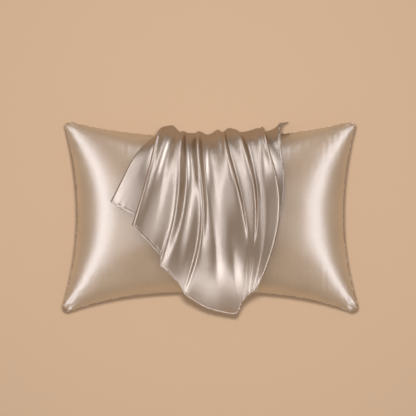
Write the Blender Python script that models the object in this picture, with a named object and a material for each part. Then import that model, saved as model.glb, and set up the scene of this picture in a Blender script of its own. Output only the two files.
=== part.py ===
"""A satin pillowcase draped over a pillow in a matching case.

The pillow lies on its back. Its long edges run along X, +Y is the far long edge and +Z is up.
The loose case is gathered over the far edge. It falls in knife pleats over the crown, and one
of its corners hangs past the near edge. Sizes are in millimetres until a mesh is made.
"""
import math
from typing import NamedTuple

import bpy
import numpy as np

METRES = 0.001

# The filled case, cut 760 by 510 mm. It draws in along its four sides as it fills.
MID_HALF_LENGTH = 334.0      # centre to the middle of a short side
FAR_FLARE = 35.5             # how much further out the far ears reach
NEAR_FLARE = 45.7            # how much further out the near ears reach
MID_HALF_BREADTH = 194.0     # centre to the middle of a long side
FAR_EAR = 43.5               # rise of the far side towards its ears
NEAR_EAR = 60.9              # drop of the near side towards its ears
FAR_EAR_POWER = 2.24
NEAR_EAR_POWER = 2.73
FAR_ROUND_COLUMNS = 0.064    # shares of the half length and breadth over which an ear is round
FAR_ROUND_ROWS = 0.078
NEAR_ROUND_COLUMNS = 0.082
NEAR_ROUND_ROWS = 0.125
EAR_SHARPNESS = 0.47         # sine of half an ear's angle
PILLOW_Y = 9.5               # centre of the filled case in Y
SEAM_HEIGHT = 58.0           # side seams over the surface it rests on
EAR_DROOP = 16.0             # how much lower the seam runs at an ear's tip
EAR_DROOP_POWER = 4
CROWN_RISE = 102.0           # seam to the top of the crown
BELLY_DROP = 92.0            # seam to the underside, before it flattens on the surface
CROWN_SHOULDER = 2.4         # a higher power is flatter in the middle
CROWN_FULLNESS = 0.62        # a lower power is rounder at the seam
PILLOW_COLUMNS = 28
PILLOW_ROWS = 18

# The loose case, front panel over back panel.
PLY = 1.0                    # one panel with its sewn hem
PLY_GAP = 0.4
REST_GAP = 0.5               # cloth to pillow where it lies on the crown
EDGE_GAP = 2.0               # more than that where it turns over the far edge
EDGE_RUN = 60.0              # length of cloth over which that extra fades out
HANG_LENGTH = 51.0           # from the far seam down behind the pillow
FALL_ROW = 0.62              # share of the near half-breadth after which the cloth falls free
FALL_BEND = 0.0020           # how fast that fall steepens
MOUTH_PEEK = 3.0             # how far the back panel reaches past the front along the mouth
MOUTH_SPREAD = 18.0          # how much further its far corner opens
MOUTH_SPREAD_RUN = 60.0      # and over what length of the mouth
ROLL_DEPTH = 8.0             # a pleat's roll, from its crown down to where it bulges most
ROLL_WIDTH = 6.0
TURN_DEPTH = 5.0             # the hidden turn below it
SHOULDER_RUN = 90.0          # the folds stand highest a little way in from the far edge
SHOULDER_WIDTH = 50.0
SHOULDER_FULLNESS = 0.6      # and how much higher they are there
STEPS_PER_CREASE = 2
HANG_ROWS = 3
FALL_ROWS = 17
ROW_CROWDING = 1.15          # above 1, rows lie closer together near the far edge


class Crease(NamedTuple):
    """A ridge, trough or turn of the loose case, from the pillow's far edge to the hem.

    x and lift each hold five stations: at the far edge, at each quarter of the way and at the
    hem. A lift is a height over the pillow. A pleat has a roll, which shows, and a turn below
    it, where the cloth doubles back, and the bend says which way each one bulges.
    """
    name: str
    bend: str
    x: tuple
    hem_y: float
    lift: tuple


CREASES = (
    Crease("a_edge",    "none",       (-124, -145, -182, -214, -248),   38, (   1,    1,  0.5,  0.5,    2)),
    Crease("a_middle",  "none",       (-117, -136, -166, -192, -220),   24, (   3,    5,    6,    6,    6)),
    Crease("a_crest",   "none",       (-110, -127, -153, -168, -192),   11, (   5,    8,  8.5,  8.5,    7)),
    Crease("ab_turn",   "turn_right", ( -80,  -75,  -82, -108, -152),   -2, (   1,    1,    1,    1,    1)),
    Crease("ab_under",  "none",       (-105, -125, -138, -156, -185),  -12, (   9, 10.5,   11,   11,  7.5)),
    Crease("b_ridge",   "roll_left",  (-114, -134, -148, -167, -194),  -17, (  21,   24,   24,   22, 18.5)),
    Crease("b_foot",    "none",       ( -97, -114, -129, -152, -176),  -35, (  24, 13.5, 13.5, 13.5, 12.5)),
    Crease("b_valley",  "none",       ( -89,  -96, -116, -131, -158),  -52, (  18,   12,   12,   12, 11.5)),
    Crease("b_swell",   "none",       ( -83,  -87,  -99, -113, -139),  -73, (12.5,   13, 14.5,   14,   11)),
    Crease("b_end",     "none",       ( -74,  -79,  -85,  -96, -123),  -91, ( 5.5,   15, 20.5,   13,    9)),
    Crease("c_ridge",   "none",       ( -66,  -72,  -77,  -91, -126), -111, ( 9.5,   21,   25,   20,   15)),
    Crease("c_foot",    "none",       ( -60,  -63,  -61,  -75, -109), -128, (   7,    4,    3,    3,    8)),
    Crease("c_valley",  "none",       ( -55,  -55,  -50,  -66,  -91), -147, (   6,    3,  2.5,  2.5,    8)),
    Crease("c_swell",   "none",       ( -45,  -44,  -37,  -53,  -75), -166, (   6,    6,  8.5,    8,    8)),
    Crease("c_end",     "none",       ( -37,  -38,  -29,  -33,  -69), -179, (   6,   12, 12.5,    5,    8)),
    Crease("d_ridge",   "none",       ( -28,  -31,  -20,  -25,  -63), -186, (  11,   18, 17.5,   16,   12)),
    Crease("d_foot",    "none",       ( -20,  -21,  -10,  -16,  -41), -203, (   8,    5,    4,   12,    8)),
    Crease("d_valley",  "none",       (  -8,   -7,   -1,   10,   -6), -223, (   2,  2.5,    3,    5,    8)),
    Crease("m_flank",   "none",       (   6,    7,   12,   26,   31), -231, (   7,  8.5,  9.5,   13,    9)),
    Crease("m_crest",   "none",       (  20,   25,   28,   52,   65), -235, (  16, 17.5,   18,   24,    8)),
    Crease("me_dip",    "none",       (  30,   31,   44,   65,   77), -207, (   7, 19.5, 18.5,   13,    8)),
    Crease("e_ridge",   "none",       (  35,   39,   66,   88,   83), -198, (  10, 23.5, 22.5,   11,    9)),
    Crease("ef_foot",   "none",       (  41,   46,   73,   94,   87), -193, (  15,    8,   13,   11,    9)),
    Crease("f_flank",   "none",       (  46,   64,   82,  100,   91), -190, (  19,   15,   17,   11,    9)),
    Crease("f_ridge",   "none",       (  58,   82,  105,  107,   95), -186, (  15,   24,   25,   12,  9.5)),
    Crease("fg_trough", "none",       (  72,   93,  113,  113,   99), -182, (   7,    9,   10,   11,   11)),
    Crease("g_flank",   "none",       ( 100,  110,  122,  126,  103), -179, (  10, 12.5,   14, 13.5,   11)),
    Crease("g_crest",   "none",       ( 121,  125,  136,  135,  107), -175, (15.5,   20,   19, 16.5,   12)),
    Crease("g_dip",     "none",       ( 127,  134,  149,  144,  112), -173, (  13, 21.5, 19.5,   16,   13)),
    Crease("g_edge",    "roll_right", ( 137,  145,  170,  164,  121), -170, (18.5,   25,   24,   18,   17)),
    Crease("gh_turn",   "turn_left",  (  98,  102,  116,  115,  104), -176, ( 0.5,  0.5,  0.5,    2,    2)),
    Crease("h_ridge",   "none",       ( 159,  155,  166,  153,  111), -171, (   8,    6,    5,    2,    2)),
    Crease("h_edge",    "none",       ( 179,  174,  182,  158,  117), -168, (  24,   13,    8,    2,    2)),
)


def half_length(row):
    """Centre to short side, at a row from -1 (near) to 1 (far)."""
    return MID_HALF_LENGTH + np.where(row > 0, FAR_FLARE, NEAR_FLARE) * row ** 2


def half_breadth(column, row):
    """Centre to long side, at a column from -1 (left) to 1 (right), on the row's side."""
    far = FAR_EAR * np.abs(column) ** FAR_EAR_POWER
    near = NEAR_EAR * np.abs(column) ** NEAR_EAR_POWER
    return MID_HALF_BREADTH + np.where(row > 0, far, near)


def round_ears(column, row):
    """Columns and rows drawn in near the four corners, so that each ear ends in a round."""
    column_share = np.where(row > 0, FAR_ROUND_COLUMNS, NEAR_ROUND_COLUMNS)
    row_share = np.where(row > 0, FAR_ROUND_ROWS, NEAR_ROUND_ROWS)
    from_side = (1 - np.abs(column)) / column_share
    from_edge = (1 - np.abs(row)) / row_share
    off_middle = np.minimum(np.abs(from_side - from_edge), 1)
    square = 4 * EAR_SHARPNESS ** 2
    half = 4 * (1 - off_middle) + square * off_middle
    root = np.sqrt(half ** 2 - 4 * (4 - square) * (1 - off_middle) ** 2)
    depth = np.clip(np.minimum(from_side, from_edge), 0, 1)
    draw = (half - root) / (2 * (4 - square)) * (1 - depth) ** 2
    column = np.sign(column) * (np.abs(column) - column_share * draw)
    row = np.sign(row) * (np.abs(row) - row_share * draw)
    return column, row


def seam_height(column, row):
    """Height of the side seams, which droop towards the four ears."""
    return SEAM_HEIGHT - EAR_DROOP * np.abs(column * row) ** EAR_DROOP_POWER


def fullness(column, row):
    """Share of the crown's rise: 1 in the middle and 0 along the seams."""
    across = 1 - np.abs(column) ** CROWN_SHOULDER
    along = 1 - np.abs(row) ** CROWN_SHOULDER
    return np.maximum(across * along, 0) ** CROWN_FULLNESS


def pillow_grid(columns, rows):
    """Top and bottom points of the filled case, on one grid that meets at the seams."""
    across = np.sin(np.linspace(-math.pi / 2, math.pi / 2, columns + 1))
    along = np.sin(np.linspace(-math.pi / 2, math.pi / 2, rows + 1))
    column, row = np.meshgrid(across, along)
    drawn_column, drawn_row = round_ears(column, row)
    x = drawn_column * half_length(drawn_row)
    y = PILLOW_Y + drawn_row * half_breadth(drawn_column, drawn_row)
    seam = seam_height(column, row)
    full = fullness(column, row)
    top = np.stack([x, y, seam + CROWN_RISE * full], axis=-1)
    bottom = np.stack([x, y, np.maximum(seam - BELLY_DROP * full, 0)], axis=-1)
    return top, bottom


def pillow_place(x, y):
    """Column and row of the filled case under a plan point."""
    column = x / MID_HALF_LENGTH
    for _ in range(4):
        row = (y - PILLOW_Y) / half_breadth(column, y - PILLOW_Y)
        row = np.clip(row, -1, 1)
        column = x / half_length(row)
    return column, row


def top_height(x, y):
    """Height of the filled case's upper side at a plan point."""
    column, row = pillow_place(x, y)
    return seam_height(column, row) + CROWN_RISE * fullness(column, row)


def far_seam_y(x):
    """Plan line of the far seam."""
    column = x / (MID_HALF_LENGTH + FAR_FLARE)
    return PILLOW_Y + half_breadth(column, 1.0)


def rest_point(x, run):
    """Point of the surface that the loose case follows, run from the far seam.

    A run below 0 hangs straight down behind the seam. The crown comes next, and past
    FALL_ROW the way leaves the pillow in a steepening fall.
    """
    turn = np.clip(run / MID_HALF_BREADTH, 0, math.pi / 2)
    past_middle = np.maximum(run - MID_HALF_BREADTH * math.pi / 2, 0)
    y = PILLOW_Y + (far_seam_y(x) - PILLOW_Y) * np.cos(turn) - past_middle
    fall_y = PILLOW_Y - FALL_ROW * MID_HALF_BREADTH
    fall_height = top_height(x, fall_y)
    fall_slope = top_height(x, fall_y + 1) - fall_height
    fallen = np.maximum(fall_y - y, 0)
    fall = fall_height - fall_slope * fallen - FALL_BEND * fallen ** 2
    z = np.where(y < fall_y, fall, top_height(x, y)) + np.minimum(run, 0)
    return np.stack([x, y, z], axis=-1)


def unit(vectors):
    """Vectors brought to length 1."""
    return vectors / np.linalg.norm(vectors, axis=-1, keepdims=True)


def over_pillow(x, run, lift):
    """Place a point of the loose case at a lift over the surface that it follows."""
    step = 0.5
    across = rest_point(x + step, run) - rest_point(x - step, run)
    down = rest_point(x, run + step) - rest_point(x, run - step)
    outward = unit(np.cross(down, across))
    edge = np.exp(-(np.maximum(run, 0) / EDGE_RUN) ** 2)
    clear = REST_GAP + PLY + PLY_GAP / 2 + EDGE_GAP * edge
    return rest_point(x, run) + outward * (clear + lift)[..., None]


def run_at(y):
    """Run from the far seam to a plan height in the middle of the pillow."""
    share = (y - PILLOW_Y) / MID_HALF_BREADTH
    if share > 0:
        return MID_HALF_BREADTH * math.acos(share)
    return MID_HALF_BREADTH * (math.pi / 2 - share)


def smooth_curve(knots, values, places):
    """Curve with even curvature through values at knots (a natural cubic), read at places."""
    gaps = np.diff(knots)
    slopes = np.diff(values, axis=0) / gaps[:, None]
    inner = np.diag(2 * (gaps[:-1] + gaps[1:]))
    inner += np.diag(gaps[1:-1], 1) + np.diag(gaps[1:-1], -1)
    bends = np.zeros_like(values)
    bends[1:-1] = np.linalg.solve(inner, 6 * np.diff(slopes, axis=0))
    span = np.clip(np.searchsorted(knots, places, side="right") - 1, 0, len(gaps) - 1)
    gap = gaps[span][:, None]
    after = (places - knots[span])[:, None]
    before = gap - after
    curve = (bends[span] * before ** 3 + bends[span + 1] * after ** 3) / (6 * gap)
    curve += (values[span] / gap - bends[span] * gap / 6) * before
    curve += (values[span + 1] / gap - bends[span + 1] * gap / 6) * after
    return curve


def taut_curve(knots, values, places):
    """Curve through values at knots that never swings past them, read at places."""
    gaps = np.diff(knots)[:, None]
    slopes = np.diff(values, axis=0) / gaps
    before, after = slopes[:-1], slopes[1:]
    weight = (gaps[:-1] + 2 * gaps[1:]) / (3 * (gaps[:-1] + gaps[1:]))
    both = before * after
    mixed = np.where(both > 0, both / np.where(both > 0, weight * after + (1 - weight) * before, 1), 0)
    tangents = np.concatenate([slopes[:1], mixed, slopes[-1:]])
    span = np.clip(np.searchsorted(knots, places, side="right") - 1, 0, len(gaps) - 1)
    gap = gaps[span]
    share = (places - knots[span])[:, None] / gap
    near = values[span] * (1 + 2 * share) * (1 - share) ** 2
    far = values[span + 1] * (3 - 2 * share) * share ** 2
    near_bend = tangents[span] * gap * share * (1 - share) ** 2
    far_bend = tangents[span + 1] * gap * (share - 1) * share ** 2
    return near + far + near_bend + far_bend


def crease_lines(crease, shares):
    """X, run and lift of one crease, or of both lines of a bend in the order they are sewn.

    A share below 0 is on the way down behind the pillow.
    """
    down = np.clip(shares, 0, 1)
    stations = np.stack([crease.x, crease.lift], axis=-1).astype(float)
    x, lift = smooth_curve(np.linspace(0, 1, len(stations)), stations, down).T
    run = down * run_at(crease.hem_y) + np.minimum(shares, 0) * HANG_LENGTH
    line = np.stack([x, run, lift], axis=-1)
    roll = np.array([ROLL_WIDTH, 0, 0])
    deep = np.array([0, 0, ROLL_DEPTH])
    high = np.array([0, 0, TURN_DEPTH])
    return {
        "none": [line],
        "turn_right": [line, line + high],
        "roll_left": [line - deep, line + roll],
        "roll_right": [line - roll, line - deep],
        "turn_left": [line + high, line],
    }[crease.bend]


def pleated_sheet(steps, hang_rows, fall_rows):
    """Middle surface of the loose case as a grid of X, run and lift."""
    hang = np.linspace(-1, 0, hang_rows, endpoint=False)
    fall = np.linspace(0, 1, fall_rows + 1) ** ROW_CROWDING
    shares = np.concatenate([hang, fall])
    lines = np.stack([line for crease in CREASES for line in crease_lines(crease, shares)])
    between = np.arange(steps) / steps
    rows = []
    for knots in lines.transpose(1, 0, 2):
        gaps = np.linalg.norm(np.diff(knots, axis=0), axis=1)
        reach = np.concatenate([[0], np.cumsum(gaps)])
        places = (reach[:-1, None] + gaps[:, None] * between).ravel()
        rows.append(taut_curve(reach, knots, np.append(places, reach[-1])))
    sheet = np.stack(rows)
    shoulder = np.exp(-((sheet[..., 1] - SHOULDER_RUN) / SHOULDER_WIDTH) ** 2)
    sheet[..., 2] *= 1 + SHOULDER_FULLNESS * shoulder
    return sheet


def open_mouth(sheet):
    """Two more columns past the mouth, where the far corner of the back panel opens."""
    x, run, lift = np.moveaxis(sheet[:, -1], -1, 0)
    fade = np.clip(1 - np.maximum(run, 0) / MOUTH_SPREAD_RUN, 0, 1) ** 2
    spread = MOUTH_PEEK + MOUTH_SPREAD * fade
    half = np.stack([x + spread / 2, run, lift], axis=-1)
    whole = np.stack([x + spread, run, lift], axis=-1)
    return np.concatenate([sheet, half[:, None], whole[:, None]], axis=1)


def directions(points, axis):
    """Directions along one axis of a grid, halfway between those of the two sides met there."""
    sides = unit(np.diff(points, axis=axis))
    first = np.take(sides, [0], axis=axis)
    last = np.take(sides, [-1], axis=axis)
    before = np.concatenate([first, sides], axis=axis)
    after = np.concatenate([sides, last], axis=axis)
    return before + after


def grid_normals(points):
    """Outward directions of a grid of points."""
    return unit(np.cross(directions(points, 0), directions(points, 1)))


def grid_faces(rows, columns, start, turned):
    """Quads of a grid of points that starts at an index, facing up or turned over."""
    faces = []
    for row in range(rows - 1):
        for column in range(columns - 1):
            corner = start + row * columns + column
            below = corner + columns
            if turned:
                faces.append((corner, corner + 1, below + 1, below))
            else:
                faces.append((corner, below, below + 1, corner + 1))
    return faces


def split_quads(faces):
    """Two triangles for each quad, on the diagonal from its first corner."""
    return [half for a, b, c, d in faces for half in ((a, b, c), (a, c, d))]


def split_at_tips(faces, tips):
    """The faces, with those that hold a tip split on the diagonal from it."""
    split = []
    for face in faces:
        held = [tip for tip in tips if tip in face]
        if held:
            turn = face.index(held[0])
            split += split_quads([face[turn:] + face[:turn]])
        else:
            split.append(face)
    return split


def rim_indices(rows, columns):
    """Indices of a grid's border, once around."""
    first = list(range(columns))
    right = [row * columns + columns - 1 for row in range(1, rows)]
    last = [(rows - 1) * columns + column for column in range(columns - 2, -1, -1)]
    left = [row * columns for row in range(rows - 2, 0, -1)]
    return first + right + last + left


def add_object(name, points, faces, material):
    """Make a smooth-shaded object from points in millimetres."""
    mesh = bpy.data.meshes.new(name)
    mesh.from_pydata((np.asarray(points) * METRES).tolist(), [], faces)
    mesh.materials.append(material)
    mesh.update()
    mesh.shade_smooth()
    mesh.set_sharp_from_angle(angle=math.radians(50))
    piece = bpy.data.objects.new(name, mesh)
    bpy.context.collection.objects.link(piece)
    return piece


def satin(name, colour, roughness):
    """Satin cloth of one colour."""
    material = bpy.data.materials.new(name)
    material.use_nodes = True
    shader = material.node_tree.nodes["Principled BSDF"]
    shader.inputs["Base Color"].default_value = (*colour, 1.0)
    shader.inputs["Roughness"].default_value = roughness
    shader.inputs["Metallic"].default_value = 0.0
    return material


def make_filled_case():
    """The pillow in its case: two crowned sides that meet at the seams."""
    top, bottom = pillow_grid(PILLOW_COLUMNS, PILLOW_ROWS)
    rows, columns = top.shape[:2]
    rim = set(rim_indices(rows, columns))
    points = list(top.reshape(-1, 3))
    lower_index = []
    for index, point in enumerate(bottom.reshape(-1, 3)):
        if index in rim:
            lower_index.append(index)
        else:
            lower_index.append(len(points))
            points.append(point)
    faces = grid_faces(rows, columns, 0, True)
    for face in grid_faces(rows, columns, 0, False):
        faces.append(tuple(lower_index[corner] for corner in face))
    last = (rows - 1) * columns
    faces = split_at_tips(faces, (0, columns - 1, last, last + columns - 1))
    return add_object("filled_case", points, faces, satin("satin_champagne", (0.60, 0.47, 0.36), 0.4))


def make_panel(name, sheet, lower, upper, material):
    """One panel of the loose case, between two offsets from its middle surface."""
    middle = over_pillow(*np.moveaxis(sheet, -1, 0))
    outward = grid_normals(middle)
    rows, columns = middle.shape[:2]
    count = rows * columns
    above = (middle + outward * upper).reshape(-1, 3)
    below = (middle + outward * lower).reshape(-1, 3)
    faces = grid_faces(rows, columns, 0, False)
    faces += grid_faces(rows, columns, count, True)
    rim = rim_indices(rows, columns)
    for here, following in zip(rim, rim[1:] + rim[:1]):
        faces.append((here, following, following + count, here + count))
    return add_object(name, np.concatenate([above, below]), split_quads(faces), material)


def make_loose_case():
    """The front and the back panel of the loose case."""
    sheet = pleated_sheet(STEPS_PER_CREASE, HANG_ROWS, FALL_ROWS)
    inner = PLY_GAP / 2
    outer = inner + PLY
    front = satin("satin_front", (0.66, 0.53, 0.41), 0.35)
    back = satin("satin_back", (0.50, 0.38, 0.29), 0.45)
    make_panel("loose_case_front", sheet, inner, outer, front)
    make_panel("loose_case_back", open_mouth(sheet), -outer, -inner, back)


for old in list(bpy.data.objects):
    bpy.data.objects.remove(old)
make_filled_case()
make_loose_case()
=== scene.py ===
"""A champagne satin pillowcase, gathered and draped over a pillow in a matching case."""

import math

import bpy
import numpy as np
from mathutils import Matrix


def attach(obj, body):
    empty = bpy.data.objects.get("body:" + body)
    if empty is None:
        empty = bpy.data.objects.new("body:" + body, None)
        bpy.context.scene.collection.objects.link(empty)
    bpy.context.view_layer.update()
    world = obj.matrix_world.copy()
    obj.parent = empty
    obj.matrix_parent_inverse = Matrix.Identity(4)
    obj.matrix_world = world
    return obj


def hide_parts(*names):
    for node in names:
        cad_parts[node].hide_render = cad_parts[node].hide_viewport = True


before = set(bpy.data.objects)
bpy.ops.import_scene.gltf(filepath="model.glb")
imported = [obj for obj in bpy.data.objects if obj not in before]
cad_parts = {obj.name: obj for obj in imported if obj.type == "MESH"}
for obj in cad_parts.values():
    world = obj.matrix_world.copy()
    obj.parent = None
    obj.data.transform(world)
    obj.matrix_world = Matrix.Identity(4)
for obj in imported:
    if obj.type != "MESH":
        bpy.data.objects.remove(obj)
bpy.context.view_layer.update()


# ---------------------------------------------------------------------------------------------
# The filled case
# A soft bed pillow in a case of polyester satin. Front and back are cut 760 by 510 mm and sewn
# at all edges, and the filling draws the four sides in and leaves four blunt ears.
# Sizes are in millimetres, and Y 0 is the middle of the whole object.

MM = 0.001
MID_HALF_LENGTH = 334.0
FAR_FLARE = 35.5
NEAR_FLARE = 45.7
MID_HALF_BREADTH = 194.0
FAR_EAR = 43.5
NEAR_EAR = 60.9
FAR_EAR_POWER = 2.24
NEAR_EAR_POWER = 2.73
FAR_ROUND_COLUMNS = 0.064
FAR_ROUND_ROWS = 0.078
NEAR_ROUND_COLUMNS = 0.082
NEAR_ROUND_ROWS = 0.125
EAR_SHARPNESS = 0.47
PILLOW_Y = 9.5               # the near ears reach further out, so the middle row lies past Y 0
SEAM_HEIGHT = 58.0
EAR_DROOP = 16.0
EAR_DROOP_POWER = 4
CROWN_RISE = 102.0
BELLY_DROP = 92.0
CROWN_SHOULDER = 2.4
CROWN_FULLNESS = 0.62
CASE_COLUMNS = 260
CASE_ROWS = 180
WAVE_COUNT = 7
SHORTEST_WAVE = 0.45         # share of the longest wave
LUMP_HEIGHT = 0.8            # the filling lies a little unevenly under the satin
LUMP_SINK = 1.0              # so that few lumps rise over the crown of the CAD part
LUMP_LENGTH = 260.0
LUMP_BREADTH = 210.0
LUMP_SLANT = 0.4
LUMP_CROSS_SLANT = 0.3
LUMP_SEEDS = (3, 4)
PUCKER_DEPTH = 0.35          # the seam draws the satin into short ridges across it
PUCKER_LONGEST = 27.2
PUCKER_START = 3.0
PUCKER_REACH = 34.0
PUCKER_EAR_POWER = 3         # the ridges die out towards the ears
TOP_PUCKER_SEED = 20
BOTTOM_PUCKER_SEED = 50
EDGE_SEED_STEP = 10


def half_length(row):
    """Centre to short side, at a row from -1 (near) to 1 (far)."""
    return MID_HALF_LENGTH + np.where(row > 0, FAR_FLARE, NEAR_FLARE) * row ** 2


def half_breadth(column, row):
    """Centre to long side, at a column from -1 (left) to 1 (right), on the row's side."""
    far = FAR_EAR * np.abs(column) ** FAR_EAR_POWER
    near = NEAR_EAR * np.abs(column) ** NEAR_EAR_POWER
    return MID_HALF_BREADTH + np.where(row > 0, far, near)


def round_ears(column, row):
    """Columns and rows drawn in near the four corners, so that each ear ends in a round."""
    column_share = np.where(row > 0, FAR_ROUND_COLUMNS, NEAR_ROUND_COLUMNS)
    row_share = np.where(row > 0, FAR_ROUND_ROWS, NEAR_ROUND_ROWS)
    from_side = (1 - np.abs(column)) / column_share
    from_edge = (1 - np.abs(row)) / row_share
    off_middle = np.minimum(np.abs(from_side - from_edge), 1)
    # The round is the conic (1 - x - y)^2 = square * x * y, which touches both sides of the
    # corner, and the quadratic formula gives how far it draws a point of the border in.
    square = 4 * EAR_SHARPNESS ** 2
    half = 4 * (1 - off_middle) + square * off_middle
    root = np.sqrt(half ** 2 - 4 * (4 - square) * (1 - off_middle) ** 2)
    depth = np.clip(np.minimum(from_side, from_edge), 0, 1)
    draw = (half - root) / (2 * (4 - square)) * (1 - depth) ** 2
    column = np.sign(column) * (np.abs(column) - column_share * draw)
    row = np.sign(row) * (np.abs(row) - row_share * draw)
    return column, row


def seam_height(column, row):
    """Height of the side seams, which droop towards the four ears."""
    return SEAM_HEIGHT - EAR_DROOP * np.abs(column * row) ** EAR_DROOP_POWER


def fullness(column, row):
    """Share of the crown's rise: 1 in the middle and 0 along the seams."""
    across = 1 - np.abs(column) ** CROWN_SHOULDER
    along = 1 - np.abs(row) ** CROWN_SHOULDER
    return np.maximum(across * along, 0) ** CROWN_FULLNESS


def waves(place, seed, longest):
    """Uneven waves along a place in millimetres, from about -1 to 1, the same on each run."""
    draw = np.random.default_rng(seed)
    total = 0
    for _ in range(WAVE_COUNT):
        length = longest * draw.uniform(SHORTEST_WAVE, 1.0)
        total = total + np.sin(2 * math.pi * (place / length + draw.random()))
    return total / math.sqrt(WAVE_COUNT)


def puckers(column, row, x, y, seed):
    """Height of the short ridges that run in from the seams."""
    to_side = (1 - np.abs(column)) * MID_HALF_LENGTH
    to_edge = (1 - np.abs(row)) * MID_HALF_BREADTH
    ridges = 0
    for distance, along, edge_seed in ((to_side, y, seed), (to_edge, x, seed + EDGE_SEED_STEP)):
        fade = np.exp(-distance / PUCKER_REACH) * (1 - np.exp(-distance / PUCKER_START))
        ridges = ridges + fade * waves(along, edge_seed, PUCKER_LONGEST)
    return PUCKER_DEPTH * ridges * (1 - np.abs(column * row) ** PUCKER_EAR_POWER)


def lumps(x, y):
    """Height of the filling's low unevenness at a plan point."""
    length_seed, breadth_seed = LUMP_SEEDS
    lengthwise = waves(x + LUMP_SLANT * y, length_seed, LUMP_LENGTH)
    return LUMP_HEIGHT * lengthwise * waves(y - LUMP_CROSS_SLANT * x, breadth_seed, LUMP_BREADTH)


def case_grid(columns, rows):
    """Top and bottom points of the filled case, on one grid that meets at the seams."""
    across = np.sin(np.linspace(-math.pi / 2, math.pi / 2, columns + 1))
    along = np.sin(np.linspace(-math.pi / 2, math.pi / 2, rows + 1))
    column, row = np.meshgrid(across, along)
    drawn_column, drawn_row = round_ears(column, row)
    x = drawn_column * half_length(drawn_row)
    y = PILLOW_Y + drawn_row * half_breadth(drawn_column, drawn_row)
    seam = seam_height(column, row)
    full = fullness(column, row)
    rise = CROWN_RISE * full + (lumps(x, y) - LUMP_SINK) * full
    rise += puckers(column, row, x, y, TOP_PUCKER_SEED)
    drop = BELLY_DROP * full + puckers(column, row, x, y, BOTTOM_PUCKER_SEED)
    top = np.stack([x, y, seam + np.maximum(rise, 0)], axis=-1)
    bottom = np.stack([x, y, np.maximum(seam - np.maximum(drop, 0), 0)], axis=-1)
    return top, bottom


def grid_faces(rows, columns, start, turned):
    """Quads of a grid of points that starts at an index, facing up or turned over."""
    corner = start + np.arange(rows - 1)[:, None] * columns + np.arange(columns - 1)
    below = corner + columns
    if turned:
        order = (corner, corner + 1, below + 1, below)
    else:
        order = (corner, below, below + 1, corner + 1)
    return np.stack(order, axis=-1).reshape(-1, 4)


def add_piece(name, points, faces, uvs):
    """A smooth mesh object from points in millimetres, with its cloth's own flat map."""
    mesh = bpy.data.meshes.new(name)
    mesh.from_pydata((np.asarray(points) * MM).tolist(), [], [list(face) for face in faces])
    layer = mesh.uv_layers.new(name="cloth")
    corners = np.empty(len(mesh.loops), dtype=np.int32)
    mesh.loops.foreach_get("vertex_index", corners)
    layer.data.foreach_set("uv", (np.asarray(uvs)[corners] * MM).ravel())
    mesh.update()
    mesh.shade_smooth()
    piece = bpy.data.objects.new(name, mesh)
    bpy.context.collection.objects.link(piece)
    return piece


def linear(hex_colour):
    """An sRGB hex colour as linear red, green, blue and alpha."""
    colour = []
    for place in (1, 3, 5):
        part = int(hex_colour[place:place + 2], 16) / 255
        colour.append(part / 12.92 if part <= 0.04045 else ((part + 0.055) / 1.055) ** 2.4)
    return colour + [1.0]


def add_node(tree, kind, values=None, links=None, **settings):
    """Add a node, set its sockets and settings, and link its inputs from other sockets."""
    node = tree.nodes.new(kind)
    for name, value in settings.items():
        setattr(node, name, value)
    for key, value in (values or {}).items():
        node.inputs[key].default_value = value
    for key, socket in (links or {}).items():
        tree.links.new(socket, node.inputs[key])
    return node


# The satin's patterns, in waves a metre. Its floats are about 0.1 mm wide, too fine to show, so
# they are drawn over ten times as coarse: with the noise's own scale, 1.25 mm wide and 7 mm long.
FLOAT_WAVES = (1000.0, 180.0, 1.0)
FLOAT_NOISE_SCALE = 0.8
GRAIN_WAVES = 420.0          # the weave's unevenness, drawn 2.4 mm across so that it shows
CLOUD_WAVES = 14.0           # soft changes of tone, about 70 mm across
FLOAT_SHARE = 0.5
CLOUD_SHARE = 0.6
TONE_LOW = 0.7
TONE_HIGH = 1.4
GRAIN_STRENGTH = 0.3
GRAIN_RELIEF = 0.6


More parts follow.
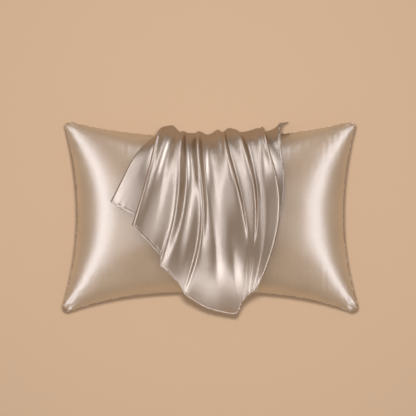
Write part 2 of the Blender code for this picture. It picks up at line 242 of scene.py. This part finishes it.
def satin(name, colour, shade_colour, roughness, index, sheen_colour):
    """Polyester satin, woven with long warp floats that lie flat on its face.

    To the eye it has a broad, soft, nearly white sheen over a warm champagne. The index is
    above polyester's 1.64, because the flat floats give back most of the light.
    """
    material = bpy.data.materials.new(name)
    material.use_nodes = True
    tree = material.node_tree
    shader = tree.nodes["Principled BSDF"]
    place = add_node(tree, "ShaderNodeTexCoord")
    along_cloth = add_node(tree, "ShaderNodeMapping", {"Scale": FLOAT_WAVES}, {"Vector": place.outputs["UV"]})
    floats = add_node(tree, "ShaderNodeTexNoise",
                      {"Scale": FLOAT_NOISE_SCALE, "Detail": 3.0, "Roughness": 0.6},
                      {"Vector": along_cloth.outputs["Vector"]})
    clouds = add_node(tree, "ShaderNodeTexNoise", {"Scale": CLOUD_WAVES, "Detail": 2.0},
                      {"Vector": place.outputs["Object"]})
    grain = add_node(tree, "ShaderNodeTexNoise", {"Scale": GRAIN_WAVES, "Detail": 2.0},
                     {"Vector": place.outputs["Object"]})
    weave = add_node(tree, "ShaderNodeMath", {1: FLOAT_SHARE},
                     {0: floats.outputs["Fac"], 2: grain.outputs["Fac"]}, operation="MULTIPLY_ADD")
    tone = add_node(tree, "ShaderNodeMath", {1: CLOUD_SHARE},
                    {0: clouds.outputs["Fac"], 2: weave.outputs[0]}, operation="MULTIPLY_ADD")
    spread = add_node(tree, "ShaderNodeMapRange", {"From Min": TONE_LOW, "From Max": TONE_HIGH},
                      {"Value": tone.outputs[0]})
    colours = add_node(tree, "ShaderNodeMix", {6: linear(shade_colour), 7: linear(colour)},
                       {0: spread.outputs[0]}, data_type="RGBA")
    bump = add_node(tree, "ShaderNodeBump", {"Strength": GRAIN_STRENGTH, "Distance": GRAIN_RELIEF * MM},
                    {"Height": weave.outputs[0]})
    tree.links.new(colours.outputs[2], shader.inputs["Base Color"])
    tree.links.new(bump.outputs["Normal"], shader.inputs["Normal"])
    shader.inputs["Roughness"].default_value = roughness
    shader.inputs["IOR"].default_value = index
    shader.inputs["Specular IOR Level"].default_value = 1.0
    shader.inputs["Specular Tint"].default_value = linear(sheen_colour)
    return material


champagne_satin = satin("champagne_satin", "#B59876", "#9C8060",
                        roughness=0.28, index=2.0, sheen_colour="#FFFFFF")

case_top, case_bottom = case_grid(CASE_COLUMNS, CASE_ROWS)
case_rows, case_columns = case_top.shape[:2]
inside = np.zeros((case_rows, case_columns), dtype=bool)
inside[1:-1, 1:-1] = True
lower_index = np.arange(case_rows * case_columns)
lower_index[inside.ravel()] = case_rows * case_columns + np.arange(inside.sum())
case_points = np.concatenate([case_top.reshape(-1, 3), case_bottom[inside]])
case_faces = np.concatenate([
    grid_faces(case_rows, case_columns, 0, True),
    lower_index[grid_faces(case_rows, case_columns, 0, False)],
])
last_row = (case_rows - 1) * case_columns
for tip in (0, case_columns - 1, last_row, last_row + case_columns - 1):
    # Each ear's last quad starts at the tip, so that it is never cut across the tip.
    for face in np.flatnonzero((case_faces == tip).any(axis=1)):
        case_faces[face] = np.roll(case_faces[face], -np.flatnonzero(case_faces[face] == tip)[0])
filled_case = add_piece("filled_case_satin", case_points, case_faces, case_points[:, :2])
filled_case.data.materials.append(champagne_satin)
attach(filled_case, "root")
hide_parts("filled_case")


# ---------------------------------------------------------------------------------------------
# The seam threads
# Spun polyester overlock thread in loops that wrap the edge of each seam. Geometry Nodes set
# one loop at each pitch along the seam's path, uneven in size and slant as sewn by machine.

THREAD_SEED = 7
LOOP_SLANT = (0.3, 0.2, 0.5)      # the most that a loop turns about its own axes, in radians
LOOP_RADIUS = 0.5                 # a loop is one unit across, so that its scale is its size
LOOP_SEGMENTS = 8
LOOP_RINGS = 5
LIGHT_AND_SHADE_WAVES = 170.0                 # painted light and shade of the thread's turns, 6 mm apart, coarser than real ones, so that they show
# Noise levels below which a turn is all painted shade, and above which it is all painted light.
PAINTED_SHADE_BELOW = 0.42
PAINTED_LIGHT_ABOVE = 0.58


def thread_material(name, colour, shade_colour):
    """Spun polyester thread, matt and a little fuzzy to the eye, with painted light and shade: its turns are
    cream where they would catch the light and dark brown where they would lie in shade.
    """
    material = bpy.data.materials.new(name)
    material.use_nodes = True
    tree = material.node_tree
    shader = tree.nodes["Principled BSDF"]
    place = add_node(tree, "ShaderNodeTexCoord")
    light_and_shade_turns = add_node(tree, "ShaderNodeTexNoise", {"Scale": LIGHT_AND_SHADE_WAVES, "Detail": 1.0},
                     {"Vector": place.outputs["Object"]})
    spread = add_node(tree, "ShaderNodeMapRange", {"From Min": PAINTED_SHADE_BELOW, "From Max": PAINTED_LIGHT_ABOVE},
                      {"Value": light_and_shade_turns.outputs["Fac"]})
    colours = add_node(tree, "ShaderNodeMix", {6: linear(shade_colour), 7: linear(colour)},
                       {0: spread.outputs[0]}, data_type="RGBA")
    tree.links.new(colours.outputs[2], shader.inputs["Base Color"])
    shader.inputs["Roughness"].default_value = 0.75
    shader.inputs["Sheen Weight"].default_value = 0.3
    return material


def loops_tree():
    """Node tree that sets loops of thread along the edges of a mesh path."""
    tree = bpy.data.node_groups.new("thread_loops", "GeometryNodeTree")
    tree.interface.new_socket("Path", in_out="INPUT", socket_type="NodeSocketGeometry")
    for name, kind in (("Pitch", "Float"), ("Loop Size", "Vector"), ("Unevenness", "Float"),
                       ("Seed", "Int"), ("Thread", "Material")):
        tree.interface.new_socket(name, in_out="INPUT", socket_type="NodeSocket" + kind)
    tree.interface.new_socket("Loops", in_out="OUTPUT", socket_type="NodeSocketGeometry")
    given = add_node(tree, "NodeGroupInput").outputs
    curve = add_node(tree, "GeometryNodeMeshToCurve", None, {"Mesh": given["Path"]})
    points = add_node(tree, "GeometryNodeCurveToPoints", None,
                      {"Curve": curve.outputs["Curve"], "Length": given["Pitch"]}, mode="LENGTH")
    turned = add_node(tree, "FunctionNodeAlignRotationToVector", None,
                      {"Vector": points.outputs["Tangent"]}, axis="X")
    slant = add_node(tree, "FunctionNodeRandomValue", {0: [-turn for turn in LOOP_SLANT], 1: LOOP_SLANT},
                     {"Seed": given["Seed"]}, data_type="FLOAT_VECTOR")
    slanted = add_node(tree, "FunctionNodeRotateRotation", None,
                       {"Rotation": turned.outputs["Rotation"], "Rotate By": slant.outputs["Value"]},
                       rotation_space="LOCAL")
    least = add_node(tree, "ShaderNodeMath", {0: 1.0}, {1: given["Unevenness"]}, operation="SUBTRACT")
    most = add_node(tree, "ShaderNodeMath", {0: 1.0}, {1: given["Unevenness"]}, operation="ADD")
    size = add_node(tree, "FunctionNodeRandomValue", None,
                    {2: least.outputs[0], 3: most.outputs[0], "Seed": given["Seed"]}, data_type="FLOAT")
    scale = add_node(tree, "ShaderNodeVectorMath", None,
                     {0: given["Loop Size"], "Scale": size.outputs[1]}, operation="SCALE")
    loop = add_node(tree, "GeometryNodeMeshUVSphere",
                    {"Radius": LOOP_RADIUS, "Segments": LOOP_SEGMENTS, "Rings": LOOP_RINGS})
    placed = add_node(tree, "GeometryNodeInstanceOnPoints", None, {
        "Points": points.outputs["Points"], "Instance": loop.outputs["Mesh"],
        "Rotation": slanted.outputs["Rotation"], "Scale": scale.outputs["Vector"]})
    real = add_node(tree, "GeometryNodeRealizeInstances", None, {"Geometry": placed.outputs["Instances"]})
    made = add_node(tree, "GeometryNodeSetMaterial", None,
                    {"Geometry": real.outputs["Geometry"], "Material": given["Thread"]})
    result = add_node(tree, "NodeGroupOutput")
    tree.links.new(made.outputs["Geometry"], result.inputs["Loops"])
    return tree


thread_loops = loops_tree()
# Painted light and shade: the thread's turns are drawn in a light cream and a dark brown, as they would be
# lit or shaded.
case_thread = thread_material("overlock_thread", "#EDE2D3", "#5F4B38")


def add_loops(name, paths, pitch, size, unevenness):
    """Loops of thread along paths in millimetres, as one plain mesh piece."""
    points = np.concatenate(paths)
    starts = np.cumsum([0] + [len(path) for path in paths[:-1]])
    edges = [(first + step, first + step + 1)
             for first, path in zip(starts.tolist(), paths) for step in range(len(path) - 1)]
    line = bpy.data.meshes.new(name + "_path")
    line.from_pydata((points * MM).tolist(), edges, [])
    guide = bpy.data.objects.new(name + "_path", line)
    bpy.context.collection.objects.link(guide)
    maker = guide.modifiers.new("loops", "NODES")
    maker.node_group = thread_loops
    sockets = thread_loops.interface.items_tree
    inputs = {socket.name: socket.identifier for socket in sockets if socket.in_out == "INPUT"}
    for label, value in (("Pitch", pitch * MM), ("Loop Size", [side * MM for side in size]),
                         ("Unevenness", unevenness), ("Seed", THREAD_SEED), ("Thread", case_thread)):
        maker[inputs[label]] = value
    ready = bpy.context.evaluated_depsgraph_get()
    mesh = bpy.data.meshes.new_from_object(guide.evaluated_get(ready))
    mesh.name = name
    mesh.shade_smooth()
    bpy.data.objects.remove(guide)
    bpy.data.meshes.remove(line)
    piece = bpy.data.objects.new(name, mesh)
    bpy.context.collection.objects.link(piece)
    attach(piece, "root")
    return piece


case_threads = [
    add_loops("case_side_threads", [case_top[:, 0], case_top[:, -1]],
              pitch=7.0, size=(3.0, 3.8, 2.8), unevenness=0.2),
    add_loops("case_near_threads", [case_top[0]],
              pitch=8.4, size=(3.2, 3.2, 2.6), unevenness=0.2),
    add_loops("case_far_threads", [case_top[-1]],
              pitch=15.0, size=(4.2, 3.0, 2.4), unevenness=0.3),
]


# ---------------------------------------------------------------------------------------------
# The loose case
# Two panels of the same satin, cut 760 by 510 mm and sewn on three sides. It is gathered over
# the pillow's far edge, falls in knife pleats over the crown, and one corner hangs free.

PLY = 0.6                    # satin is thinner than this, but the panel shows its doubled hems
PLY_GAP = 0.4
CAD_PLY = 1.0                # the panels of the CAD part, whose middle surface this one keeps
REST_GAP = 0.5
EDGE_GAP = 2.0               # more room over the pillow's far edge, where the cloth turns down
EDGE_RUN = 60.0
HANG_LENGTH = 51.0           # how far the cloth hangs down behind the far seam
FALL_ROW = 0.62              # row towards the near edge where the cloth leaves the pillow
FALL_BEND = 0.0020
OUTLINE_PASSES = 4           # rounds that find the column and row of a plan point
NORMAL_STEP = 0.5            # half the stretch that gives the surface's slope at a point
ROLL_DEPTH = 8.0             # a rolled edge goes this far down, within this width
ROLL_WIDTH = 6.0
TURN_DEPTH = 5.0             # a hidden turn doubles back this far up
STEPS_PER_CREASE = 7
SOFTENING = 9                # passes that round the creases off across the cloth
SHOULDER_RUN = 90.0          # the folds stand highest a little way in from the pillow's far edge
SHOULDER_WIDTH = 50.0
SHOULDER_FULLNESS = 0.6
HANG_ROWS = 14
FALL_ROWS = 110
HEM_MARGIN = 3.0
# The turned hem's section: distances from the hem, and how far the cloth stands up or sinks there.
HEM_ROWS = (10.0, 8.6, 7.8, 7.0, 6.2, 5.2, 4.1, 3.1, 2.2, 1.4, 0.8, 0.3, 0.0)
HEM_RELIEF = (0.0, 0.0, -0.3, -0.5, -0.2, 0.2, 0.4, 0.4, 0.4, 0.2, 0.0, -0.2, -0.4)
HEM_PUCKER = 0.9
HEM_PUCKER_LONGEST = 22.0
HEM_PUCKER_REACH = 10.0
HEM_PUCKER_SEED = 31
MOUTH_PEEK = 3.0             # the back panel shows this far past the front one along the mouth
MOUTH_SPREAD = 18.0          # and this much further where the mouth opens, over the far edge
MOUTH_SPREAD_RUN = 60.0
MOUTH_COLUMNS = 4

# Each crease, in order across the cloth and named by its fold: its bend, X at five stations from
# the far edge to the hem, the hem's Y, and the lift over the pillow at the same stations.
CREASES = {
    "a_edge": ("none", (-124, -145, -182, -214, -248), 38, (1, 2, 2.5, 2.5, 3)),
    "a_middle": ("none", (-117, -136, -166, -192, -220), 24, (3, 5, 6, 6, 6)),
    "a_crest": ("none", (-110, -127, -153, -168, -192), 11, (5, 8, 8.5, 8.5, 7)),
    "ab_turn": ("turn_right", (-80, -75, -82, -108, -152), -2, (1, 1, 1, 1, 1)),
    "ab_under": ("none", (-105, -125, -138, -156, -185), -12, (9, 10.5, 11, 11, 7.5)),
    "b_ridge": ("roll_left", (-114, -134, -148, -167, -194), -17, (21, 24, 24, 22, 18.5)),
    "b_foot": ("none", (-97, -114, -129, -152, -176), -35, (24, 13.5, 13.5, 13.5, 12.5)),
    "b_valley": ("none", (-89, -96, -116, -131, -158), -52, (18, 12, 12, 12, 11.5)),
    "b_swell": ("none", (-83, -87, -99, -113, -139), -73, (12.5, 17, 19, 18, 12)),
    "b_end": ("none", (-74, -79, -85, -96, -123), -91, (5.5, 19, 24, 19, 11)),
    "c_ridge": ("none", (-66, -72, -77, -91, -126), -111, (9.5, 22, 27, 22, 15)),
    "c_foot": ("none", (-60, -63, -61, -75, -109), -128, (7, 4, 3, 3, 8)),
    "c_valley": ("none", (-55, -55, -50, -66, -91), -147, (6, 3, 2.5, 2.5, 8)),
    "c_swell": ("none", (-45, -44, -37, -53, -75), -166, (6, 6, 8.5, 8, 8)),
    "c_end": ("none", (-37, -38, -29, -33, -69), -179, (6, 12, 12.5, 5, 8)),
    "d_ridge": ("none", (-28, -31, -20, -25, -63), -186, (11, 18, 17.5, 16, 12)),
    "d_foot": ("none", (-20, -21, -10, -16, -41), -203, (8, 5, 4, 12, 8)),
    "d_valley": ("none", (-8, -7, -1, 10, -6), -223, (2, 2.5, 3, 5, 8)),
    "m_flank": ("none", (6, 7, 12, 26, 31), -231, (7, 6, 6, 12, 9)),
    "m_crest": ("none", (20, 25, 28, 52, 65), -235, (16, 15, 14, 19, 13)),
    "me_dip": ("none", (30, 31, 44, 65, 77), -207, (7, 17.5, 20, 15, 12)),
    "e_ridge": ("none", (35, 39, 69, 88, 83), -198, (10, 22, 27, 12, 11)),
    "ef_foot": ("none", (41, 46, 76, 94, 87), -193, (15, 8, 13, 12, 11)),
    "f_flank": ("none", (46, 64, 84, 100, 91), -190, (19, 15, 16, 12, 11)),
    "f_ridge": ("none", (58, 82, 108, 107, 95), -186, (15, 24, 27, 13, 11)),
    "fg_trough": ("none", (72, 93, 115, 113, 99), -182, (7, 9, 11, 12, 12)),
    "g_flank": ("none", (100, 110, 122, 126, 103), -179, (10, 13, 15, 14, 12)),
    "g_crest": ("none", (121, 125, 136, 135, 107), -175, (15.5, 20, 22, 18, 13)),
    "g_dip": ("none", (127, 134, 149, 144, 112), -173, (13, 21.5, 23, 18, 14)),
    "g_edge": ("roll_right", (137, 145, 170, 164, 121), -170, (18.5, 25, 24, 18, 17)),
    "gh_turn": ("turn_left", (98, 102, 116, 115, 104), -176, (0.5, 0.5, 0.5, 2, 2)),
    "h_ridge": ("none", (159, 155, 166, 153, 111), -171, (8, 6, 5, 2, 2)),
    "h_edge": ("none", (179, 174, 182, 158, 117), -168, (24, 13, 8, 2, 2)),
}


def top_height(x, y):
    """Height of the filled case's upper side at a plan point, before its puckers."""
    column = x / MID_HALF_LENGTH
    for _ in range(OUTLINE_PASSES):
        row = (y - PILLOW_Y) / half_breadth(column, y - PILLOW_Y)
        row = np.clip(row, -1, 1)
        column = x / half_length(row)
    return seam_height(column, row) + CROWN_RISE * fullness(column, row)


def far_seam_y(x):
    """Plan line of the far seam."""
    column = x / (MID_HALF_LENGTH + FAR_FLARE)
    return PILLOW_Y + half_breadth(column, 1.0)


def rest_point(x, run):
    """Point of the surface that the loose case follows, run from the far seam.

    A run below 0 hangs straight down behind the seam. The crown comes next, and past
    FALL_ROW the way leaves the pillow in a steepening fall.
    """
    turn = np.clip(run / MID_HALF_BREADTH, 0, math.pi / 2)
    past_middle = np.maximum(run - MID_HALF_BREADTH * math.pi / 2, 0)
    y = PILLOW_Y + (far_seam_y(x) - PILLOW_Y) * np.cos(turn) - past_middle
    fall_y = PILLOW_Y - FALL_ROW * MID_HALF_BREADTH
    fall_height = top_height(x, fall_y)
    fall_slope = top_height(x, fall_y + 1) - fall_height
    fallen = np.maximum(fall_y - y, 0)
    fall = fall_height - fall_slope * fallen - FALL_BEND * fallen ** 2
    z = np.where(y < fall_y, fall, top_height(x, y)) + np.minimum(run, 0)
    return np.stack([x, y, z], axis=-1)


def unit(vectors):
    """Vectors brought to length 1."""
    return vectors / np.linalg.norm(vectors, axis=-1, keepdims=True)


def over_pillow(x, run, lift):
    """Place a point of the loose case at a lift over the surface that it follows."""
    across = rest_point(x + NORMAL_STEP, run) - rest_point(x - NORMAL_STEP, run)
    down = rest_point(x, run + NORMAL_STEP) - rest_point(x, run - NORMAL_STEP)
    outward = unit(np.cross(down, across))
    edge = np.exp(-(np.maximum(run, 0) / EDGE_RUN) ** 2)
    clear = REST_GAP + CAD_PLY + PLY_GAP / 2 + EDGE_GAP * edge
    return rest_point(x, run) + outward * (clear + lift)[..., None]


def run_at(y):
    """Run from the far seam to a plan height in the middle of the pillow."""
    share = (y - PILLOW_Y) / MID_HALF_BREADTH
    if share > 0:
        return MID_HALF_BREADTH * math.acos(share)
    return MID_HALF_BREADTH * (math.pi / 2 - share)


def smooth_curve(knots, values, places):
    """Curve with even curvature through values at knots (a natural cubic), read at places."""
    gaps = np.diff(knots)
    slopes = np.diff(values, axis=0) / gaps[:, None]
    inner = np.diag(2 * (gaps[:-1] + gaps[1:]))
    inner += np.diag(gaps[1:-1], 1) + np.diag(gaps[1:-1], -1)
    bends = np.zeros_like(values)
    bends[1:-1] = np.linalg.solve(inner, 6 * np.diff(slopes, axis=0))
    span = np.clip(np.searchsorted(knots, places, side="right") - 1, 0, len(gaps) - 1)
    gap = gaps[span][:, None]
    after = (places - knots[span])[:, None]
    before = gap - after
    curve = (bends[span] * before ** 3 + bends[span + 1] * after ** 3) / (6 * gap)
    curve += (values[span] / gap - bends[span] * gap / 6) * before
    curve += (values[span + 1] / gap - bends[span + 1] * gap / 6) * after
    return curve


def taut_curve(knots, values, places):
    """Curve through values at knots that never swings past them, read at places."""
    gaps = np.diff(knots)[:, None]
    slopes = np.diff(values, axis=0) / gaps
    before, after = slopes[:-1], slopes[1:]
    weight = (gaps[:-1] + 2 * gaps[1:]) / (3 * (gaps[:-1] + gaps[1:]))
    both = before * after
    mixed = np.where(both > 0, both / np.where(both > 0, weight * after + (1 - weight) * before, 1), 0)
    tangents = np.concatenate([slopes[:1], mixed, slopes[-1:]])
    span = np.clip(np.searchsorted(knots, places, side="right") - 1, 0, len(gaps) - 1)
    gap = gaps[span]
    share = (places - knots[span])[:, None] / gap
    near = values[span] * (1 + 2 * share) * (1 - share) ** 2
    far = values[span + 1] * (3 - 2 * share) * share ** 2
    near_bend = tangents[span] * gap * share * (1 - share) ** 2
    far_bend = tangents[span + 1] * gap * (share - 1) * share ** 2
    return near + far + near_bend + far_bend


def crease_lines(crease, shares):
    """X, run and lift of one crease, or of both lines of a roll or turn, in order across."""
    bend, stations_x, hem_y, stations_lift = crease
    down = np.clip(shares, 0, 1)
    stations = np.stack([stations_x, stations_lift], axis=-1).astype(float)
    x, lift = smooth_curve(np.linspace(0, 1, len(stations)), stations, down).T
    run = down * run_at(hem_y) + np.minimum(shares, 0) * HANG_LENGTH
    line = np.stack([x, run, lift], axis=-1)
    roll = np.array([ROLL_WIDTH, 0, 0])
    deep = np.array([0, 0, ROLL_DEPTH])
    high = np.array([0, 0, TURN_DEPTH])
    return {
        "none": [line],
        "turn_right": [line, line + high],
        "roll_left": [line - deep, line + roll],
        "roll_right": [line - roll, line - deep],
        "turn_left": [line + high, line],
    }[bend]


def pleated_sheet():
    """Middle surface of the loose case, as a grid of X, run and lift."""
    hang = np.linspace(-1, 0, HANG_ROWS, endpoint=False)
    longest = run_at(min(hem_y for _, _, hem_y, _ in CREASES.values()))
    fall = np.linspace(0, 1 - (HEM_ROWS[0] + HEM_MARGIN) / longest, FALL_ROWS)
    shares = np.concatenate([hang, fall, 1 - np.array(HEM_ROWS) / longest])
    lines = np.stack([line for crease in CREASES.values() for line in crease_lines(crease, shares)])
    between = np.arange(STEPS_PER_CREASE) / STEPS_PER_CREASE
    rows = []
    for knots in lines.transpose(1, 0, 2):
        gaps = np.linalg.norm(np.diff(knots, axis=0), axis=1)
        reach = np.concatenate([[0], np.cumsum(gaps)])
        places = (reach[:-1, None] + gaps[:, None] * between).ravel()
        rows.append(taut_curve(reach, knots, np.append(places, reach[-1])))
    sheet = np.stack(rows)
    for _ in range(SOFTENING):
        inner = (sheet[:, :-2] + 2 * sheet[:, 1:-1] + sheet[:, 2:]) / 4
        sheet = np.concatenate([sheet[:, :1], inner, sheet[:, -1:]], axis=1)
    shoulder = np.exp(-((sheet[..., 1] - SHOULDER_RUN) / SHOULDER_WIDTH) ** 2)
    sheet[..., 2] = np.maximum(sheet[..., 2], 0) * (1 + SHOULDER_FULLNESS * shoulder)
    return sheet


def directions(points, axis):
    """Directions along one axis of a grid, halfway between those of the two sides met there."""
    sides = unit(np.diff(points, axis=axis))
    first = np.take(sides, [0], axis=axis)
    last = np.take(sides, [-1], axis=axis)
    return np.concatenate([first, sides], axis=axis) + np.concatenate([sides, last], axis=axis)


def grid_normals(points):
    """Outward directions of a grid of points."""
    return unit(np.cross(directions(points, 0), directions(points, 1)))


def along_grid(points, axis):
    """Length along one axis of a grid of points, from its first row or column."""
    steps = np.linalg.norm(np.diff(points, axis=axis), axis=-1)
    start = np.zeros_like(np.take(steps, [0], axis=axis))
    return np.concatenate([start, np.cumsum(steps, axis=axis)], axis=axis)


def rim_indices(rows, columns):
    """Indices of a grid's border, once around."""
    first = list(range(columns))
    right = [row * columns + columns - 1 for row in range(1, rows)]
    last = [(rows - 1) * columns + column for column in range(columns - 2, -1, -1)]
    left = [row * columns for row in range(rows - 2, 0, -1)]
    return first + right + last + left


def open_mouth(sheet):
    """The sheet with more columns past the mouth, where the far corner of the back panel opens."""
    x, run, lift = np.moveaxis(sheet[:, -1], -1, 0)
    fade = np.clip(1 - np.maximum(run, 0) / MOUTH_SPREAD_RUN, 0, 1) ** 2
    spread = MOUTH_PEEK + MOUTH_SPREAD * fade
    columns = [sheet]
    for column in range(1, MOUTH_COLUMNS + 1):
        past = x + spread * column / MOUTH_COLUMNS
        columns.append(np.stack([past, run, lift], axis=-1)[:, None])
    return np.concatenate(columns, axis=1)


def make_panel(name, sheet, lower, upper, material, node):
    """One panel of the loose case, between two offsets from its middle surface."""
    middle = over_pillow(*np.moveaxis(sheet, -1, 0))
    outward = grid_normals(middle)
    rows, columns = middle.shape[:2]
    count = rows * columns
    down = along_grid(middle, 0)
    to_hem = down[-1] - down
    along_hem = np.broadcast_to(along_grid(middle, 1)[-1], to_hem.shape)
    drawn = HEM_PUCKER * np.exp(-to_hem / HEM_PUCKER_REACH)
    drawn = drawn * waves(along_hem, HEM_PUCKER_SEED, HEM_PUCKER_LONGEST)
    relief = drawn + np.interp(to_hem, HEM_ROWS[::-1], HEM_RELIEF[::-1])
    middle = middle + outward * relief[..., None]
    points = np.concatenate([
        (middle + outward * upper).reshape(-1, 3),
        (middle + outward * lower).reshape(-1, 3),
    ])
    rim = np.array(rim_indices(rows, columns))
    following = np.roll(rim, -1)
    faces = np.concatenate([
        grid_faces(rows, columns, 0, False),
        grid_faces(rows, columns, count, True),
        np.stack([rim, following, following + count, rim + count], axis=-1),
    ])
    flat = np.stack([along_grid(middle, 1), -along_grid(middle, 0)], axis=-1).reshape(-1, 2)
    piece = add_piece(name, points, faces, np.concatenate([flat, flat]))
    piece.data.materials.append(material)
    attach(piece, "root")
    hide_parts(node)
    return piece


loose_sheet = pleated_sheet()
# Painted shade: the loose case's face is the same champagne satin as the filled case, painted much darker, so
# that its pleats' hollows stay dark under the lamps that light the loose case alone.
painted_shade_satin = satin("champagne_satin_painted_shade", "#684D31", "#533D26",
                   roughness=0.33, index=2.5, sheen_colour="#FFF3E7")
satin_wrong_side = satin("champagne_satin_back", "#7A6450", "#6C5745",
                         roughness=0.45, index=2.0, sheen_colour="#FFF6EC")
front_panel = make_panel("loose_front_panel", loose_sheet, PLY_GAP / 2, PLY_GAP / 2 + PLY,
                         painted_shade_satin, "loose_case_front")
back_panel = make_panel("loose_back_panel", open_mouth(loose_sheet), -PLY_GAP / 2 - PLY, -PLY_GAP / 2,
                        satin_wrong_side, "loose_case_back")

# Overlock thread shows where the free corner's seam and the open mouth turn their edges up. A
# crease with a bend has two lines in the sheet, and the others have one.
line_ends = np.cumsum([1 if bend == "none" else 2 for bend, _, _, _ in CREASES.values()]) - 1
column_of = dict(zip(CREASES, (line_ends * STEPS_PER_CREASE).tolist()))
loose_middle = over_pillow(*np.moveaxis(loose_sheet, -1, 0))
corner_seam = loose_middle[-1, column_of["m_crest"]:column_of["g_edge"] - STEPS_PER_CREASE]
mouth_edge = loose_middle[HANG_ROWS:-1, -1]
loose_threads = [
    add_loops("corner_threads", [corner_seam],
              pitch=6.0, size=(3.0, 3.6, 2.4), unevenness=0.3),
    add_loops("mouth_threads", [mouth_edge],
              pitch=6.0, size=(2.6, 3.2, 2.2), unevenness=0.3),
]


# ---------------------------------------------------------------------------------------------
# The studio
# A plain tan ground, long soft boxes low at the left and right, and fainter ones around. Some
# light the cloth alone, some the loose case alone, and one the ground. Sizes are in metres.

FLOOR_REACH = 6.0
GROUND_GLOW = 0.30
SKY_STRENGTH = 0.30
BOX_COLOUR = (0.97, 0.97, 1.03)
LIGHT_AIM = (0, 0, 0.1)
PHOTO_PIXELS = 416
PHOTO_SCALE = 2.52 * MM      # one pixel of the photo, at the height of the side seams
PHOTO_MIDDLE = (-5.8 * MM, 25.6 * MM)
CAMERA_HEIGHT = 12.0         # high, because the photo shows hardly any perspective
SENSOR_WIDTH = 36.0

floor_corners = [(-FLOOR_REACH, -FLOOR_REACH, 0), (FLOOR_REACH, -FLOOR_REACH, 0),
                 (FLOOR_REACH, FLOOR_REACH, 0), (-FLOOR_REACH, FLOOR_REACH, 0)]
floor_mesh = bpy.data.meshes.new("studio_floor")
floor_mesh.from_pydata(floor_corners, [], [(0, 1, 2, 3)])
floor = bpy.data.objects.new("studio_floor", floor_mesh)
bpy.context.collection.objects.link(floor)
# Matt background paper, with no gloss. A glow of its own keeps its tan even out to the edges.
paper = bpy.data.materials.new("tan_paper")
paper.use_nodes = True
paper_shader = paper.node_tree.nodes["Principled BSDF"]
paper_shader.inputs["Base Color"].default_value = linear("#967E64")
paper_shader.inputs["Roughness"].default_value = 0.9
paper_shader.inputs["Emission Color"].default_value = linear("#D3B191")
paper_shader.inputs["Emission Strength"].default_value = GROUND_GLOW
floor_mesh.materials.append(paper)

world = bpy.data.worlds.new("studio")
world.use_nodes = True
world.node_tree.nodes["Background"].inputs["Color"].default_value = linear("#FFF4EA")
world.node_tree.nodes["Background"].inputs["Strength"].default_value = SKY_STRENGTH
bpy.context.scene.world = world


def soft_box(name, place, size, power, aim=LIGHT_AIM, glossy=True):
    """A rectangular light that faces a point, and that may be kept out of the sheen."""
    light = bpy.data.lights.new(name, "AREA")
    light.shape = "RECTANGLE"
    light.size, light.size_y = size
    light.energy = power
    light.color = BOX_COLOUR
    lamp = bpy.data.objects.new(name, light)
    lamp.location = place
    back = np.array(place) - np.array(aim)
    level = math.hypot(back[0], back[1])
    lamp.rotation_euler = (math.atan2(level, back[2]), 0, math.atan2(back[1], back[0]) + math.pi / 2)
    lamp.visible_camera = False
    lamp.visible_glossy = glossy
    bpy.context.collection.objects.link(lamp)
    return lamp


def light_only(name, lamps, pieces):
    """Keep the light of some lamps to some pieces, as flags and screens do in a studio."""
    lit = bpy.data.collections.new(name)
    for piece in pieces:
        lit.objects.link(piece)
    for lamp in lamps:
        lamp.light_linking.receiver_collection = lit


cloth_lights = [
    soft_box("left_box", (-1.72, 0.0, 1.37), size=(5.6, 0.42), power=36),
    soft_box("right_box", (1.72, 0.0, 1.37), size=(5.6, 0.42), power=34),
    soft_box("left_fill", (-1.1, 0.0, 2.2), size=(1.6, 0.9), power=4),
    soft_box("right_fill", (1.1, 0.0, 2.2), size=(1.6, 0.9), power=1.5),
    soft_box("far_box", (0.0, 1.9, 1.7), size=(0.4, 1.6), power=17),
    soft_box("near_fill", (0.0, -2.0, 1.6), size=(2.4, 1.0), power=12, glossy=False),
]
drape_lights = [
    soft_box("near_box", (0.0, -2.5, 1.05), size=(1.8, 0.4), power=9),
    soft_box("near_left_box", (-1.5, -2.2, 0.95), size=(0.9, 0.5), power=9),
    soft_box("near_right_box", (1.5, -2.2, 0.95), size=(0.9, 0.5), power=7),
]
ground_lights = [
    soft_box("floor_box", (0.0, 0.32, 2.8), size=(0.35, 0.35), power=95, aim=(0, 0, 0)),
]
light_only("cloth", cloth_lights, [filled_case, front_panel, back_panel, *case_threads, *loose_threads])
light_only("drape", drape_lights, [front_panel, back_panel, *loose_threads])
light_only("ground", ground_lights, [floor])

camera_data = bpy.data.cameras.new("camera")
camera = bpy.data.objects.new("camera", camera_data)
camera.location = (*PHOTO_MIDDLE, CAMERA_HEIGHT)
camera_data.sensor_width = SENSOR_WIDTH
camera_data.lens = SENSOR_WIDTH * (CAMERA_HEIGHT - SEAM_HEIGHT * MM) / (PHOTO_PIXELS * PHOTO_SCALE)
camera_data.clip_end = 50.0
bpy.context.collection.objects.link(camera)
bpy.context.scene.camera = camera
bpy.context.scene.view_settings.view_transform = "Standard"
